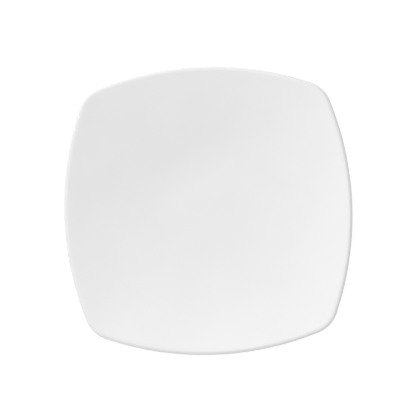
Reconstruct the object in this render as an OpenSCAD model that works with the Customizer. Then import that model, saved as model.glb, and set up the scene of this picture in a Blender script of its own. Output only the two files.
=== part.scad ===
// Square coupe dinner plate in glazed porcelain, with bowed sides, round corners and a foot ring.
// Millimetres, +Z up. The origin is on the table, under the middle of the plate.
// One closed section, drawn through the middle of a side, is carried round a family of plan
// contours that change from a circle in the middle to the bowed square of the rim.

/* [Outline] */
// Width of the glazed plate across the middles of two opposite sides
plate_w = 270; // [220:1:320]
// Radius of the bowed sides, seen from above
side_r = 281; // [200:1:600]
// Radius of the corners, seen from above
corner_r = 30; // [15:1:60]
// How late the round well turns into the square rim: a higher power keeps it round for longer
square_power = 4; // [2:1:6]

/* [Face] */
// Height of the lip above the table, at the middle of a side
rim_h = 24; // [19:0.5:32]
// How much higher the lip is at the corners
corner_lift = 3; // [0:0.5:8]
// Width of the level well
well_w = 60; // [30:1:130]

/* [Wall] */
// Thickness of the floor under the well, with its glaze
floor_t = 5.2; // [4:0.1:6]
// Radius of the lip's outer edge above its widest line
edge_r = 3; // [2:0.1:4]
// Radius of the lip's outer edge below its widest line
under_edge_r = 1.4; // [1:0.1:2.5]
// Radius of the soft roll that leads from the face to the lip
roll_r = 7; // [5:0.5:40]

/* [Foot] */
// Width of the foot ring at the table, across its sides
foot_w = 156; // [120:1:190]
// Depth of the base inside the foot ring, above the table
foot_recess = 2.8; // [2.4:0.1:5]
// Width of the flat land that the plate stands on
foot_land = 3.6; // [2:0.1:8]
// Radius of the foot's lower edges
foot_edge_r = 0.8; // [0.3:0.1:1.2]
// Radius where the foot meets the plate
foot_fillet_r = 3; // [0.5:0.1:6]
// Draft angle of the foot's sides
foot_draft = 8; // [0:1:20]

/* [Glaze] */
// Thickness of the glaze coat
glaze_t = 0.3; // [0.15:0.05:0.6]
// Height above the table where the glaze stops on the foot's sides
glaze_line = 1.5; // [1.3:0.1:1.9]

/* [Smoothness] */
// Facets along one bowed side
side_steps = 10; // [4:2:24]
// Facets round one corner
corner_steps = 8; // [2:2:16]
// Facets up the wall of the face
wall_steps = 7; // [3:1:12]
// Facets along the underside of the wall
under_steps = 5; // [3:1:12]
// Facets across the roll that leads to the lip
roll_steps = 2; // [1:1:6]
// Facets over the lip's outer edge
edge_steps = 4; // [2:1:8]
// Facets across each other small arc of the section
arc_steps = 3; // [2:1:6]

/* [Hidden] */

porcelain_colour = [0.93, 0.91, 0.87];
glaze_colour = [0.95, 0.95, 0.95];

// Sizes of the bare body, which the glaze then brings to the finished size
well_h = foot_recess + floor_t;
half_w = plate_w / 2 - glaze_t;
lip_z = rim_h - glaze_t;
floor_z = well_h - glaze_t;
base_z = foot_recess + glaze_t;
tip_r = edge_r - glaze_t;
under_tip_r = under_edge_r - glaze_t;
bend_r = roll_r - glaze_t;
well_x = well_w / 2;
tip_x = half_w - tip_r;

// Share of the full coat that is left at the blunt edge of the glaze
glaze_edge_share = 0.5;

// Plan of the rim: side arcs about [-side_c, 0] and tangent corner arcs about [corner_c, corner_c]
rim_half_w = plate_w / 2;
side_c = side_r - rim_half_w;
corner_c = (sqrt(2 * pow(side_r - corner_r, 2) - pow(side_c, 2)) - side_c) / 2;
tangent_angle = atan2(corner_c, corner_c + side_c);

// Point of one side's stretch of the rim whose outward normal is at angle d, from -45 to 45
function side_stretch(d) =
    abs(d) <= tangent_angle
        ? [side_r * cos(d) - side_c, side_r * sin(d)]
        : [corner_c + corner_r * cos(d), sign(d) * corner_c + corner_r * sin(d)];

function turned(p, a) = [p.x * cos(a) - p.y * sin(a), p.x * sin(a) + p.y * cos(a)];

// Point of the rim whose outward normal is at angle a
function rim_point(a) = let (turn = 90 * round(a / 90)) turned(side_stretch(a - turn), turn);

// How square the plan contour of half width x is: 0 is a circle, 1 an offset of the rim
// From the crest of the lip outwards it is 1, so that the lip is as wide at the corners as along the sides
function squareness(x) = pow(min(1, x / tip_x), square_power);

// Point of the plan contour of half width x whose outward normal is at angle a
function contour_point(x, a) =
    let (circle = [cos(a), sin(a)])
    x * circle + squareness(x) * (rim_point(a) - rim_half_w * circle);

// Normal angles round the rim from turn - 45 to turn + 45, spaced along the side and round the corners
stretch_angles = concat(
    [for (i = [-corner_steps / 2:-1])
        -tangent_angle + (45 - tangent_angle) * (2 * i / corner_steps)],
    [for (i = [0:side_steps]) tangent_angle * (2 * i / side_steps - 1)],
    [for (i = [1:corner_steps / 2 - 1])
        tangent_angle + (45 - tangent_angle) * (2 * i / corner_steps)]
);

// Lines that run from the middle to the rim: [angle of the rim's normal, its lean from the line]
plan_lines = [
    for (turn = [0:90:270], d = stretch_angles)
        let (p = side_stretch(d))
        [turn + d, d - atan2(p.y, p.x)]
];

// Lift of the plate at half width x and normal angle a: none at the foot, full at the lip's corners
corner_reach = norm(rim_point(45));
function lift(x, a) =
    corner_lift * pow(min(1, max(0, (x - foot_x) / (tip_x - foot_x))), 2)
    * (norm(rim_point(a)) - rim_half_w) / (corner_reach - rim_half_w);

// The wall of the face is a parabola, level at the well and tangent to the lip's roll
function wall_end(slope) =
    [tip_x - bend_r * sin(slope), lip_z - bend_r * (1 - cos(slope))];
function settled_slope(tries) =
    tries == 0
        ? 0
        : let (end = wall_end(settled_slope(tries - 1)))
          atan2(2 * (end.y - floor_z), end.x - well_x);
slope_tries = 6;
end_slope = settled_slope(slope_tries);
wall_top = wall_end(end_slope);
wall_run = wall_top.x - well_x;
wall_rise = wall_top.y - floor_z;

function wall_share(x) = max(0, min(1, (x - well_x) / wall_run));
function wall_slope(x) = atan2(2 * wall_rise * wall_share(x), wall_run);
function wall_z(x) =
    floor_z + wall_rise * pow(wall_share(x), 2) + max(0, x - wall_top.x) * tan(end_slope);

// Thickness of the bare body, from the floor to the straight stretch behind the lip
lip_root_t =
    under_tip_r + (tip_r - under_tip_r) * sin(end_slope)
    + tip_r * cos(end_slope) + bend_r * (1 - cos(end_slope));
function wall_t(x) = (floor_z - base_z) * (1 - wall_share(x)) + lip_root_t * wall_share(x);
function under_z(x) = wall_z(x) - wall_t(x) / cos(wall_slope(x));

// Foot ring
foot_x = foot_w / 2;
foot_lean = tan(foot_draft);
land_out_x = foot_x - foot_edge_r;
land_in_x = land_out_x - foot_land;
ring_in_x = land_in_x - foot_edge_r;
foot_top_z = under_z(foot_x);
least_glazed_side = 0.3;
cut_past = 1;
outer_fillet_r = min(foot_fillet_r, foot_top_z - glaze_line - least_glazed_side);
inner_fillet_r = min(foot_fillet_r, base_z - glaze_line - least_glazed_side);

// A station of the section is [x, z, angle of the outward normal]
function foot_side(z) = [foot_x + (z - foot_edge_r) * foot_lean, z, -foot_draft];
function ring_side(z) = [ring_in_x - (z - foot_edge_r) * foot_lean, z, 180 + foot_draft];

function arc(centre, r, from, to, steps = arc_steps) = [
    for (i = [1:steps])
        let (a = from + (to - from) * i / steps)
        [centre.x + r * cos(a), centre.y + r * sin(a), a]
];

// Fillet from station p to station q that is tangent to both sides of the corner between them
function fillet(p, corner, q) = [
    for (i = [1:arc_steps])
        let (
            t = i / arc_steps,
            curve = (1 - t) * (1 - t) * [p.x, p.y] + 2 * t * (1 - t) * corner + t * t * [q.x, q.y]
        )
        [curve.x, curve.y, p.z + (q.z - p.z) * t]
];

function wall_station(x) = [x, wall_z(x), 90 + wall_slope(x)];
function under_station(x) = [x, under_z(x), wall_slope(x) - 90];

face_stations = [for (i = [0:wall_steps]) wall_station(well_x + wall_run * i / wall_steps)];

lip_stations = concat(
    arc([tip_x, lip_z - bend_r], bend_r, 90 + end_slope, 90, roll_steps),
    arc([tip_x, lip_z - tip_r], tip_r, 90, 0, edge_steps),
    arc([half_w - under_tip_r, lip_z - tip_r], under_tip_r, 0, end_slope - 90)
);

under_out_x = half_w - under_tip_r * (1 - sin(end_slope));
under_in_x = foot_side(foot_top_z).x + outer_fillet_r;
under_stations = [
    for (i = [1:under_steps]) under_station(under_out_x + (under_in_x - under_out_x) * i / under_steps)
];

foot_glazed_stations = concat(
    fillet(
        under_station(under_in_x),
        [foot_side(foot_top_z).x, foot_top_z],
        foot_side(foot_top_z - outer_fillet_r)
    ),
    [foot_side(glaze_line)]
);

foot_bare_stations = concat(
    [foot_side(foot_edge_r)],
    arc([land_out_x, foot_edge_r], foot_edge_r, 0, -90)
);

recess_bare_stations = concat(
    [[land_in_x, -cut_past, 0], [land_in_x, 0, -90]],
    arc([land_in_x, foot_edge_r], foot_edge_r, -90, -180)
);

base_stations = concat(
    [ring_side(glaze_line)],
    [ring_side(base_z - inner_fillet_r)],
    fillet(
        ring_side(base_z - inner_fillet_r),
        [ring_side(base_z).x, base_z],
        [ring_side(base_z).x - inner_fillet_r, base_z, 270]
    )
);

face_coat_stations = concat(face_stations, lip_stations, under_stations, foot_glazed_stations);

// Outer face of a coat on the given stations, thinner at the stations listed as its edge
function coated(stations, edge) = [
    for (i = [0:len(stations) - 1])
        let (s = stations[i], t = glaze_t * (i == edge ? glaze_edge_share : 1))
        [s.x + t * cos(s.z), s.y + t * sin(s.z), s.z]
];

function reversed(list) = [for (i = [len(list) - 1:-1:0]) list[i]];

function ring(station) = [
    for (line = plan_lines)
        let (
            a = line[0] - line[1] * (1 - squareness(station.x)),
            p = contour_point(station.x, a)
        )
        [p.x, p.y, station.y + lift(station.x, a)]
];

// Closed solid that carries stations round the plate, from one point on the axis to another
// The last folded_rows run back along a section, and their facets are split to match its facets
module carried_round(stations, first_z, last_z, folded_rows = 0) {
    count = len(plan_lines);
    last = len(stations) * count + 1;
    fold_row = len(stations) - folded_rows;
    function at(row, i) = 1 + row * count + i % count;
    function facets(row, i) =
        row < fold_row
            ? [
                [at(row, i), at(row, i + 1), at(row + 1, i)],
                [at(row, i + 1), at(row + 1, i + 1), at(row + 1, i)]
            ]
            : [
                [at(row, i), at(row, i + 1), at(row + 1, i + 1)],
                [at(row, i), at(row + 1, i + 1), at(row + 1, i)]
            ];
    polyhedron(
        points = concat([[0, 0, first_z]], [for (s = stations) each ring(s)], [[0, 0, last_z]]),
        faces = concat(
            [for (i = [0:count - 1]) [0, at(0, i + 1), at(0, i)]],
            [for (row = [0:len(stations) - 2], i = [0:count - 1]) each facets(row, i)],
            [for (i = [0:count - 1]) [at(len(stations) - 1, i), at(len(stations) - 1, i + 1), last]]
        )
    );
}

// Recess of the base inside the foot ring
module base_recess() {
    carried_round(reversed(concat(recess_bare_stations, base_stations)), base_z, -cut_past);
}

// Fired body in one piece: well, wall, lip and foot ring
module porcelain_body() {
    color(porcelain_colour) difference() {
        carried_round(concat(face_coat_stations, foot_bare_stations), floor_z, 0);
        base_recess();
    }
}

// Glaze over the face, round the lip and down the underside to the foot ring
module face_glaze() {
    rows = len(face_coat_stations);
    color(glaze_colour)
        carried_round(
            concat(coated(face_coat_stations, rows - 1), reversed(face_coat_stations)),
            well_h, floor_z, rows
        );
}

// Glaze on the recessed base inside the foot ring
module base_glaze() {
    color(glaze_colour)
        carried_round(
            concat(reversed(base_stations), coated(base_stations, 0)),
            base_z, foot_recess
        );
}

porcelain_body();
face_glaze();
base_glaze();
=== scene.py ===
"""Looks of the square coupe dinner plate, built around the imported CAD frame. Metres, +Z up."""
import math

import bpy
import numpy as np
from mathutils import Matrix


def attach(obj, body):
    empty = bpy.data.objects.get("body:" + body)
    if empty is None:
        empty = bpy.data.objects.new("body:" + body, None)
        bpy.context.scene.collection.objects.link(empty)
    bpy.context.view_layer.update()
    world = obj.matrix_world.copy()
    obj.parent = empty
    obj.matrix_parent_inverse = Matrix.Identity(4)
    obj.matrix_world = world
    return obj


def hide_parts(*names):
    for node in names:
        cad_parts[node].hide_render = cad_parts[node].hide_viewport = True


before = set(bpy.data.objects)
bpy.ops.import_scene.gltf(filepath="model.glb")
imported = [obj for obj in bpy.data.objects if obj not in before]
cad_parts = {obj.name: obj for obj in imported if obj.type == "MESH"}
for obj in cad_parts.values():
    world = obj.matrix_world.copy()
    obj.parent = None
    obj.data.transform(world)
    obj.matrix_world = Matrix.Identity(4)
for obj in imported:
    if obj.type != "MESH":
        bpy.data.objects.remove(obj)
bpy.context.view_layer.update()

MM = 0.001
QUARTER = math.pi / 2

# Sizes of the plate, the same as in the CAD source
PLATE_W = 270 * MM
SIDE_R = 281 * MM
CORNER_R = 30 * MM
RIM_H = 24 * MM
CORNER_LIFT = 3 * MM
SQUARE_POWER = 4
WELL_W = 60 * MM
FLOOR_T = 5.2 * MM
EDGE_R = 3 * MM
UNDER_EDGE_R = 1.4 * MM
ROLL_R = 7 * MM
FOOT_W = 156 * MM
FOOT_RECESS = 2.8 * MM
FOOT_LAND = 3.6 * MM
FOOT_EDGE_R = 0.8 * MM
FOOT_FILLET_R = 3 * MM
FOOT_DRAFT = math.radians(8)
GLAZE_T = 0.3 * MM
GLAZE_LINE = 1.5 * MM
LEAST_GLAZED_SIDE = 0.3 * MM

# Shares of the full coat thickness in the rounded bead that ends a coat at the glaze line
BEAD = (1.0, 0.95, 0.8, 0.45)

# Mesh resolution
SIDE_STEPS = 44
CORNER_STEPS = 24
WELL_STEPS = 6
WALL_STEPS = 44
ROLL_STEPS = 14
EDGE_STEPS = 12
UNDER_STEPS = 30
FILLET_STEPS = 10
FOOT_ARC_STEPS = 6
BEAD_STEPS = len(BEAD)

# Derived sizes of the bare body
half_w = PLATE_W / 2 - GLAZE_T
lip_z = RIM_H - GLAZE_T
well_h = FOOT_RECESS + FLOOR_T
floor_z = well_h - GLAZE_T
base_z = FOOT_RECESS + GLAZE_T
tip_r = EDGE_R - GLAZE_T
under_tip_r = UNDER_EDGE_R - GLAZE_T
bend_r = ROLL_R - GLAZE_T
well_x = WELL_W / 2
tip_x = half_w - tip_r
rim_half_w = PLATE_W / 2
side_c = SIDE_R - rim_half_w
corner_c = (math.sqrt(2 * (SIDE_R - CORNER_R) ** 2 - side_c ** 2) - side_c) / 2
tangent_angle = math.atan2(corner_c, corner_c + side_c)
foot_x = FOOT_W / 2
foot_lean = math.tan(FOOT_DRAFT)
land_out_x = foot_x - FOOT_EDGE_R
land_in_x = land_out_x - FOOT_LAND
ring_in_x = land_in_x - FOOT_EDGE_R

# Rounds in which the slope at the wall's end settles, and the slack for comparing angles
SLOPE_ROUNDS = 8
ANGLE_SLACK = 1e-9


def wall_end(slope):
    """Point where the wall runs into the roll, if it arrives there at the given slope."""
    return (tip_x - bend_r * math.sin(slope), lip_z - bend_r * (1 - math.cos(slope)))


end_slope = 0.0
for _ in range(SLOPE_ROUNDS):
    end_x, end_z = wall_end(end_slope)
    end_slope = math.atan2(2 * (end_z - floor_z), end_x - well_x)
wall_end_x, wall_end_z = wall_end(end_slope)
wall_run = wall_end_x - well_x
wall_rise = wall_end_z - floor_z
lip_root_t = (
    under_tip_r
    + (tip_r - under_tip_r) * math.sin(end_slope)
    + tip_r * math.cos(end_slope)
    + bend_r * (1 - math.cos(end_slope))
)


def wall_share(x):
    """0 in the well, 1 from the wall's end outwards."""
    return max(0.0, min(1.0, (x - well_x) / wall_run))


def wall_slope(x):
    return math.atan2(2 * wall_rise * wall_share(x), wall_run)


def wall_z(x):
    """Height of the body's face: a parabola, carried on straight past its end."""
    return floor_z + wall_rise * wall_share(x) ** 2 + max(0.0, x - wall_end_x) * math.tan(end_slope)


def under_z(x):
    """Height of the underside, below the face by a thickness that tapers towards the lip."""
    share = wall_share(x)
    thick = (floor_z - base_z) * (1 - share) + lip_root_t * share
    return wall_z(x) - thick / math.cos(wall_slope(x))


foot_top_z = under_z(foot_x)
outer_fillet_r = min(FOOT_FILLET_R, foot_top_z - GLAZE_LINE - LEAST_GLAZED_SIDE)
inner_fillet_r = min(FOOT_FILLET_R, base_z - GLAZE_LINE - LEAST_GLAZED_SIDE)


# A station of the section is (x, z, angle of the outward normal)
def foot_side(z):
    return (foot_x + (z - FOOT_EDGE_R) * foot_lean, z, -FOOT_DRAFT)


def ring_side(z):
    return (ring_in_x - (z - FOOT_EDGE_R) * foot_lean, z, math.pi + FOOT_DRAFT)


def wall_station(x):
    return (x, wall_z(x), QUARTER + wall_slope(x))


def under_station(x):
    return (x, under_z(x), wall_slope(x) - QUARTER)


def arc(cx, cz, r, start, end, steps):
    """Stations on an arc, without its first point."""
    angles = [start + (end - start) * i / steps for i in range(1, steps + 1)]
    return [(cx + r * math.cos(a), cz + r * math.sin(a), a) for a in angles]


def fillet(p, corner, q, steps):
    """Stations on a curve from p to q that is drawn towards the corner, without its first point."""
    stations = []
    for i in range(1, steps + 1):
        t = i / steps
        x = (1 - t) ** 2 * p[0] + 2 * t * (1 - t) * corner[0] + t * t * q[0]
        z = (1 - t) ** 2 * p[1] + 2 * t * (1 - t) * corner[1] + t * t * q[1]
        stations.append((x, z, p[2] + (q[2] - p[2]) * t))
    return stations


# Face and outside, from the middle of the well round the lip to the glaze line
well_stations = [(well_x * i / WELL_STEPS, floor_z, QUARTER) for i in range(1, WELL_STEPS)]
wall_stations = [wall_station(well_x + wall_run * i / WALL_STEPS) for i in range(WALL_STEPS + 1)]
lip_stations = (
    arc(tip_x, lip_z - bend_r, bend_r, QUARTER + end_slope, QUARTER, ROLL_STEPS)
    + arc(tip_x, lip_z - tip_r, tip_r, QUARTER, 0.0, EDGE_STEPS)
    + arc(half_w - under_tip_r, lip_z - tip_r, under_tip_r, 0.0, end_slope - QUARTER, EDGE_STEPS)
)
under_out_x = half_w - under_tip_r * (1 - math.sin(end_slope))
under_in_x = foot_side(foot_top_z)[0] + outer_fillet_r
under_stations = [
    under_station(under_out_x + (under_in_x - under_out_x) * i / UNDER_STEPS)
    for i in range(1, UNDER_STEPS + 1)
]
fillet_low_z = foot_top_z - outer_fillet_r
outer_fillet = fillet(
    under_station(under_in_x),
    (foot_side(foot_top_z)[0], foot_top_z),
    foot_side(fillet_low_z),
    FILLET_STEPS,
)
foot_glazed = [
    foot_side(fillet_low_z + (GLAZE_LINE - fillet_low_z) * i / BEAD_STEPS) for i in range(1, BEAD_STEPS + 1)
]
face_stations = well_stations + wall_stations + lip_stations + under_stations + outer_fillet + foot_glazed

# Bare foot ring, from its outer side over the land to its inner side
foot_bare = [foot_side(FOOT_EDGE_R)] + arc(
    land_out_x, FOOT_EDGE_R, FOOT_EDGE_R, 0.0, -QUARTER, FOOT_ARC_STEPS
)
ring_bare = [(land_in_x, 0.0, -QUARTER)] + arc(
    land_in_x, FOOT_EDGE_R, FOOT_EDGE_R, -QUARTER, -2 * QUARTER, FOOT_ARC_STEPS
)

# Base, from the glaze line inside the foot ring to the middle
inner_low_z = base_z - inner_fillet_r
base_in_x = ring_side(base_z)[0] - inner_fillet_r
base_stations = (
    [ring_side(GLAZE_LINE + (inner_low_z - GLAZE_LINE) * i / BEAD_STEPS) for i in range(BEAD_STEPS + 1)]
    + fillet(
        ring_side(inner_low_z),
        (ring_side(base_z)[0], base_z),
        (base_in_x, base_z, 3 * QUARTER),
        FILLET_STEPS,
    )
    + [(base_in_x * (1 - i / WELL_STEPS), base_z, 3 * QUARTER) for i in range(1, WELL_STEPS)]
)

# Plan of the plate, by the angle of the rim's normal
side_angles = [tangent_angle * (2 * i / SIDE_STEPS - 1) for i in range(SIDE_STEPS)]
corner_angles = [
    tangent_angle + (QUARTER - 2 * tangent_angle) * i / CORNER_STEPS for i in range(CORNER_STEPS)
]
plan_angles = np.array([turn * QUARTER + a for turn in range(4) for a in side_angles + corner_angles])


def rim_points(angles):
    """Points of the rim's outline where its normal has the given angles: bowed sides and round corners."""
    turn = np.round(angles / QUARTER) * QUARTER
    d = angles - turn
    on_side = np.abs(d) <= tangent_angle + ANGLE_SLACK
    x = np.where(on_side, SIDE_R * np.cos(d) - side_c, corner_c + CORNER_R * np.cos(d))
    y = np.where(on_side, SIDE_R * np.sin(d), np.sign(d) * corner_c + CORNER_R * np.sin(d))
    return np.stack([x * np.cos(turn) - y * np.sin(turn), x * np.sin(turn) + y * np.cos(turn)], 1)


rim = rim_points(plan_angles)
corner_reach = np.linalg.norm(rim, axis=1).max()
# How far each rim point's normal is turned from its direction out of the middle
lean = (plan_angles - np.arctan2(rim[:, 1], rim[:, 0]) + math.pi) % (2 * math.pi) - math.pi


def ring(x, z):
    """Points of one station carried round: nearly a circle in the well, the rim's outline at the lip."""
    square = min(1.0, x / tip_x) ** SQUARE_POWER
    angles = plan_angles - lean * (1 - square)
    normals = np.stack([np.cos(angles), np.sin(angles)], 1)
    outline = rim_points(angles)
    plan = x * normals + square * (outline - rim_half_w * normals)
    corner_share = (np.linalg.norm(outline, axis=1) - rim_half_w) / (corner_reach - rim_half_w)
    lift = CORNER_LIFT * min(1.0, max(0.0, (x - foot_x) / (tip_x - foot_x))) ** 2 * corner_share
    return np.column_stack([plan, z + lift])


def coated(stations, thickness):
    """Stations moved out along their normals by a coat of the given thickness at each of them."""
    return [(s[0] + t * math.cos(s[2]), s[1] + t * math.sin(s[2])) for s, t in zip(stations, thickness)]


def carried_round(name, stations, first_z, last_z, film):
    """Closed mesh of stations carried round the plate. film is each station's share of the full coat."""
    count = len(plan_angles)
    rows = len(stations)
    rings = [ring(s[0], s[1]) for s in stations]
    points = np.vstack([[[0, 0, first_z]]] + rings + [[[0, 0, last_z]]])
    last = rows * count + 1
    faces = []
    for i in range(count):
        j = (i + 1) % count
        faces.append((0, 1 + i, 1 + j))
        for row in range(rows - 1):
            a = 1 + row * count
            b = a + count
            faces.append((a + j, a + i, b + i, b + j))
        a = 1 + (rows - 1) * count
        faces.append((a + j, a + i, last))
    mesh = bpy.data.meshes.new(name)
    mesh.from_pydata(points.tolist(), [], faces)
    mesh.polygons.foreach_set("use_smooth", [True] * len(mesh.polygons))
    values = np.concatenate([[film[0]], np.repeat(film, count), [film[-1]]])
    layer = mesh.attributes.new("glaze_film", "FLOAT", "POINT")
    layer.data.foreach_set("value", values.astype(np.float32))
    mesh.update()
    piece = bpy.data.objects.new(name, mesh)
    bpy.context.scene.collection.objects.link(piece)
    return piece


# The three pieces: each coat is a shell over the body's own surface
face_film = np.ones(len(face_stations))
face_film[-BEAD_STEPS:] = BEAD
base_film = np.ones(len(base_stations))
base_film[:BEAD_STEPS] = BEAD[::-1]

face_coat = coated(face_stations, GLAZE_T * face_film)
base_coat = coated(base_stations, GLAZE_T * base_film)
face_plain = [s[:2] for s in face_stations]
base_plain = [s[:2] for s in base_stations]
body_plain = face_plain + [s[:2] for s in foot_bare + ring_bare] + base_plain

face_piece = carried_round(
    "face_glaze_coat",
    face_coat + face_plain[::-1],
    well_h,
    floor_z,
    np.concatenate([face_film, face_film[::-1]]),
)
base_piece = carried_round(
    "base_glaze_coat",
    base_plain[::-1] + base_coat,
    base_z,
    FOOT_RECESS,
    np.concatenate([base_film[::-1], base_film]),
)
body_piece = carried_round("porcelain_body_bisque", body_plain, floor_z, base_z, np.zeros(len(body_plain)))


# Node helpers
def new_material(name):
    material = bpy.data.materials.new(name)
    material.use_nodes = True
    tree = material.node_tree
    tree.nodes.clear()
    return material, tree


def add(tree, kind, **inputs):
    """New node with its inputs set. An underscore stands for a space in an input's name."""
    node = tree.nodes.new(kind)
    for key, value in inputs.items():
        node.inputs[key.replace("_", " ")].default_value = value
    return node


def combine(tree, operation, first, second):
    node = tree.nodes.new("ShaderNodeMath")
    node.operation = operation
    tree.links.new(first, node.inputs[0])
    tree.links.new(second, node.inputs[1])
    return node.outputs["Value"]


def noise(tree, coord, settings):
    """Noise from 0 to 1. The settings are its scale per metre, detail and roughness."""
    scale, detail, roughness = settings
    node = add(tree, "ShaderNodeTexNoise", Scale=scale, Detail=detail, Roughness=roughness)
    tree.links.new(coord, node.inputs["Vector"])
    return node.outputs["Fac"]


def ramp(tree, value, source, target):
    """Value carried from the source range to the target range, and held at their ends."""
    node = add(
        tree,
        "ShaderNodeMapRange",
        From_Min=source[0],
        From_Max=source[1],
        To_Min=target[0],
        To_Max=target[1],
    )
    tree.links.new(value, node.inputs["Value"])
    return node.outputs["Result"]


def mix_colour(tree, factor, first, second):
    """Mix of two colours, each a tuple or a socket."""
    node = tree.nodes.new("ShaderNodeMix")
    node.data_type = "RGBA"
    tree.links.new(factor, node.inputs["Factor"])
    for socket, value in ((node.inputs["A"], first), (node.inputs["B"], second)):
        if isinstance(value, tuple):
            socket.default_value = (*value, 1.0)
        else:
            tree.links.new(value, socket)
    return node.outputs["Result"]


def bump(tree, height, distance, normal=None):
    node = add(tree, "ShaderNodeBump", Strength=1.0, Distance=distance)
    tree.links.new(height, node.inputs["Height"])
    if normal is not None:
        tree.links.new(normal, node.inputs["Normal"])
    return node.outputs["Normal"]


def surface_shader(tree):
    """Principled shader that is linked to the material's output."""
    shader = tree.nodes.new("ShaderNodeBsdfPrincipled")
    out = tree.nodes.new("ShaderNodeOutputMaterial")
    tree.links.new(shader.outputs["BSDF"], out.inputs["Surface"])
    return shader


FULL = (0.0, 1.0)

# Glaze: faintly clouded white, darker and warmer where the bead thins, with a slow swell and a fine peel
GLAZE_WHITES = ((0.812, 0.812, 0.812), (0.824, 0.824, 0.824))
GLAZE_THIN = (0.74, 0.72, 0.69)
GLAZE_CLOUDS = (28, 3, 0.5)
GLAZE_CLOUD_SPAN = (0.35, 0.65)
GLAZE_THIN_SPAN = (1.0, 0.4)
GLAZE_GLOSS = (55, 4, 0.55)
GLAZE_GLOSS_SPAN = (0.3, 0.7)
GLAZE_ROUGHNESS = (0.15, 0.19)
GLAZE_IOR = 1.5
GLAZE_SWELL = (35, 2, 0.4)
GLAZE_SWELL_H = 0.02 * MM
GLAZE_PEEL = (700, 2, 0.5)
GLAZE_PEEL_H = 0.002 * MM


def glaze_material():
    material, tree = new_material("white_gloss_glaze")
    coord = tree.nodes.new("ShaderNodeTexCoord").outputs["Object"]
    shader = surface_shader(tree)

    clouds = ramp(tree, noise(tree, coord, GLAZE_CLOUDS), GLAZE_CLOUD_SPAN, FULL)
    white = mix_colour(tree, clouds, *GLAZE_WHITES)
    film = tree.nodes.new("ShaderNodeAttribute")
    film.attribute_name = "glaze_film"
    thin = ramp(tree, film.outputs["Fac"], GLAZE_THIN_SPAN, FULL)
    tree.links.new(mix_colour(tree, thin, white, GLAZE_THIN), shader.inputs["Base Color"])

    gloss = ramp(tree, noise(tree, coord, GLAZE_GLOSS), GLAZE_GLOSS_SPAN, GLAZE_ROUGHNESS)
    tree.links.new(gloss, shader.inputs["Roughness"])
    shader.inputs["IOR"].default_value = GLAZE_IOR

    swell = bump(tree, noise(tree, coord, GLAZE_SWELL), GLAZE_SWELL_H)
    peel = bump(tree, noise(tree, coord, GLAZE_PEEL), GLAZE_PEEL_H, swell)
    tree.links.new(peel, shader.inputs["Normal"])
    return material


# Bare porcelain: warm, patchy and matte, with dark specks and a fine grain
BISQUE_TONES = ((0.78, 0.74, 0.68), (0.84, 0.81, 0.76))
BISQUE_PATCHES = (120, 4, 0.6)
BISQUE_PATCH_SPAN = (0.35, 0.65)
SPECK_COLOUR = (0.45, 0.42, 0.38)
SPECKS = (1800, 2, 0.5)
SPECK_SPAN = (0.66, 0.74)
SPECK_STRENGTH = (0.0, 0.6)
BISQUE_ROUGHNESS = 0.85
BISQUE_GRAIN = (2600, 3, 0.6)
BISQUE_GRAIN_H = 0.06 * MM


def bisque_material():
    material, tree = new_material("bare_porcelain")
    coord = tree.nodes.new("ShaderNodeTexCoord").outputs["Object"]
    shader = surface_shader(tree)

    patches = ramp(tree, noise(tree, coord, BISQUE_PATCHES), BISQUE_PATCH_SPAN, FULL)
    body = mix_colour(tree, patches, *BISQUE_TONES)
    specks = ramp(tree, noise(tree, coord, SPECKS), SPECK_SPAN, SPECK_STRENGTH)
    tree.links.new(mix_colour(tree, specks, body, SPECK_COLOUR), shader.inputs["Base Color"])
    shader.inputs["Roughness"].default_value = BISQUE_ROUGHNESS
    grain = bump(tree, noise(tree, coord, BISQUE_GRAIN), BISQUE_GRAIN_H)
    tree.links.new(grain, shader.inputs["Normal"])
    return material


glaze = glaze_material()
bisque = bisque_material()
face_piece.data.materials.append(glaze)
base_piece.data.materials.append(glaze)
body_piece.data.materials.append(bisque)

for piece, node, slot in (
    (face_piece, "face_glaze", "white_glaze"),
    (base_piece, "base_glaze", "white_glaze"),
    (body_piece, "porcelain_body", "porcelain_bisque"),
):
    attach(piece, "root")
    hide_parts(node)


def seen_directly(tree):
    """1 for rays that show a surface straight, by gloss or through glass, and 0 for other rays."""
    path = tree.nodes.new("ShaderNodeLightPath")
    shown = combine(tree, "MAXIMUM", path.outputs["Is Camera Ray"], path.outputs["Is Glossy Ray"])
    return combine(tree, "MAXIMUM", shown, path.outputs["Is Transmission Ray"])


# Floor: pale, with a white glow that shows but lights nothing, stronger further out, where less light falls
FLOOR_HALF = 3.0
FLOOR_DROP = 0.2 * MM
FLOOR_COLOUR = (0.7, 0.7, 0.7, 1.0)
GLOW_REACH = (0.2, 1.5)
GLOW_STRENGTH = (0.56, 0.85)


def floor_material():
    material, tree = new_material("pale_floor")
    diffuse = add(tree, "ShaderNodeBsdfDiffuse", Color=FLOOR_COLOUR)
    glow = tree.nodes.new("ShaderNodeEmission")
    radius = tree.nodes.new("ShaderNodeVectorMath")
    radius.operation = "LENGTH"
    tree.links.new(tree.nodes.new("ShaderNodeTexCoord").outputs["Object"], radius.inputs[0])
    strength = ramp(tree, radius.outputs["Value"], GLOW_REACH, GLOW_STRENGTH)
    shown = combine(tree, "MULTIPLY", strength, seen_directly(tree))
    tree.links.new(shown, glow.inputs["Strength"])
    both = tree.nodes.new("ShaderNodeAddShader")
    tree.links.new(diffuse.outputs["BSDF"], both.inputs[0])
    tree.links.new(glow.outputs["Emission"], both.inputs[1])
    out = tree.nodes.new("ShaderNodeOutputMaterial")
    tree.links.new(both.outputs["Shader"], out.inputs["Surface"])
    return material


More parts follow.
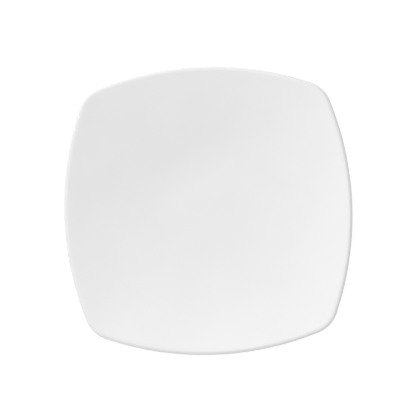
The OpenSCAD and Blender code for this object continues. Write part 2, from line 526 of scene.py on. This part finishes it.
floor_mesh = bpy.data.meshes.new("floor")
floor_corners = ((-1, -1), (1, -1), (1, 1), (-1, 1))
floor_mesh.from_pydata(
    [(FLOOR_HALF * x, FLOOR_HALF * y, -FLOOR_DROP) for x, y in floor_corners], [], [(0, 1, 2, 3)]
)
floor_mesh.materials.append(floor_material())
floor = bpy.data.objects.new("floor", floor_mesh)
bpy.context.scene.collection.objects.link(floor)

# World: soft white room light, brighter and pure white where it shows straight, by gloss or through glass
ROOM_COLOUR = (1.0, 1.0, 1.0, 1.0)
ROOM_LIGHT = 0.3
ROOM_SHOWN = 1.0


def room_world():
    world = bpy.data.worlds.new("soft_room")
    world.use_nodes = True
    tree = world.node_tree
    tree.nodes.clear()
    room = add(tree, "ShaderNodeBackground", Color=ROOM_COLOUR)
    strength = ramp(tree, seen_directly(tree), FULL, (ROOM_LIGHT, ROOM_SHOWN))
    tree.links.new(strength, room.inputs["Strength"])
    out = tree.nodes.new("ShaderNodeOutputWorld")
    tree.links.new(room.outputs["Background"], out.inputs["Surface"])
    return world


bpy.context.scene.world = room_world()

# Studio lights: a softbox overhead, a low strip light at the upper left and a low panel on each side of it.
# The low lights are kept out of the gloss, where they would clip the near wall to white in side views.
SOFTBOX_W = 1.4
SOFTBOX_POWER = 10.95
SOFTBOX_PLACE = (0.0, QUARTER, 1.2)
STRIP_W = 0.6
STRIP_H = 0.06
STRIP_POWER = 8.3
STRIP_PLACE = (math.radians(125), math.radians(10), 1.5)
PANEL_W = 0.55
PANEL_H = 0.1
PANEL_RISE = math.radians(4)
PANEL_REACH = 1.0
UPPER_PANEL_POWER = 1.4
UPPER_PANEL_PLACE = (math.radians(90), PANEL_RISE, PANEL_REACH)
LEFT_PANEL_POWER = 2.1
LEFT_PANEL_PLACE = (math.radians(205), PANEL_RISE, PANEL_REACH)


def area_light(name, width, height, power, place, in_gloss):
    """Rectangular light at a place given as azimuth, elevation and distance, facing the plate."""
    azimuth, elevation, reach = place
    light = bpy.data.lights.new(name, "AREA")
    light.shape = "RECTANGLE"
    light.size = width
    light.size_y = height
    light.energy = power
    lamp = bpy.data.objects.new(name, light)
    bpy.context.scene.collection.objects.link(lamp)
    lamp.location = (
        reach * math.cos(elevation) * math.cos(azimuth),
        reach * math.cos(elevation) * math.sin(azimuth),
        reach * math.sin(elevation),
    )
    lamp.rotation_euler = (QUARTER - elevation, 0.0, azimuth + QUARTER)
    lamp.visible_glossy = in_gloss


area_light("softbox", SOFTBOX_W, SOFTBOX_W, SOFTBOX_POWER, SOFTBOX_PLACE, in_gloss=True)
area_light("strip", STRIP_W, STRIP_H, STRIP_POWER, STRIP_PLACE, in_gloss=False)
area_light("upper_panel", PANEL_W, PANEL_H, UPPER_PANEL_POWER, UPPER_PANEL_PLACE, in_gloss=False)
area_light("left_panel", PANEL_W, PANEL_H, LEFT_PANEL_POWER, LEFT_PANEL_PLACE, in_gloss=False)

# Camera straight above, turned a little, with a long lens. Pixels give the plate's place in the photo.
IMAGE_PX = 420
PLATE_PX = 289.3
CENTRE_PX = (208.15, 210.70)
TURN = math.radians(-1.85)
LENS_MM = 100.0
SENSOR_MM = 36.0

view_w = PLATE_W * IMAGE_PX / PLATE_PX
distance = view_w * LENS_MM / SENSOR_MM
px = view_w / IMAGE_PX
off_right = (IMAGE_PX / 2 - CENTRE_PX[0]) * px
off_up = (CENTRE_PX[1] - IMAGE_PX / 2) * px
camera_data = bpy.data.cameras.new("camera")
camera_data.lens = LENS_MM
camera_data.sensor_width = SENSOR_MM
camera = bpy.data.objects.new("camera", camera_data)
bpy.context.scene.collection.objects.link(camera)
camera.location = (
    off_right * math.cos(TURN) - off_up * math.sin(TURN),
    off_right * math.sin(TURN) + off_up * math.cos(TURN),
    RIM_H + distance,
)
camera.rotation_euler = (0.0, 0.0, TURN)
bpy.context.scene.camera = camera

bpy.context.scene.view_settings.view_transform = "Standard"
